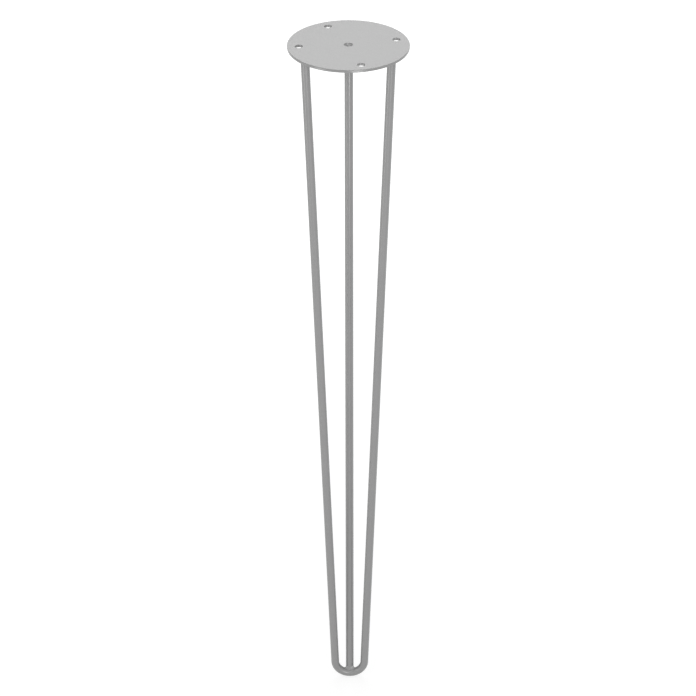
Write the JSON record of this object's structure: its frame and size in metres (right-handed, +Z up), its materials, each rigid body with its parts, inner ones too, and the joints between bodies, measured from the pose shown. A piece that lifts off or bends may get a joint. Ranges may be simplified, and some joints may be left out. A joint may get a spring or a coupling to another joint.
{
  "type": "hairpin table leg",
  "caption": "Hairpin table leg: round screw-on steel plate over a rod bent into a long U, with a straight rod welded into the foot bend, all powder coated silver grey.",
  "frame": {"origin": "centre of the mounting plate's top face, where it meets the table top", "axes": "+Z up, out of the plate into the table top; +Y towards the straight middle rod; +X to the right"},
  "size_m": [0.11, 0.11, 0.7099],
  "materials": {
    "silver_grey_powder_coat": "satin powder coat"
  },
  "bodies": {
    "root": {"mounting_plate": "silver_grey_powder_coat", "hairpin_rod": "silver_grey_powder_coat", "middle_rod": "silver_grey_powder_coat", "left_plate_weld": "silver_grey_powder_coat", "right_plate_weld": "silver_grey_powder_coat", "middle_plate_weld": "silver_grey_powder_coat", "left_foot_weld": "silver_grey_powder_coat", "right_foot_weld": "silver_grey_powder_coat"}
  },
  "joints": []
}
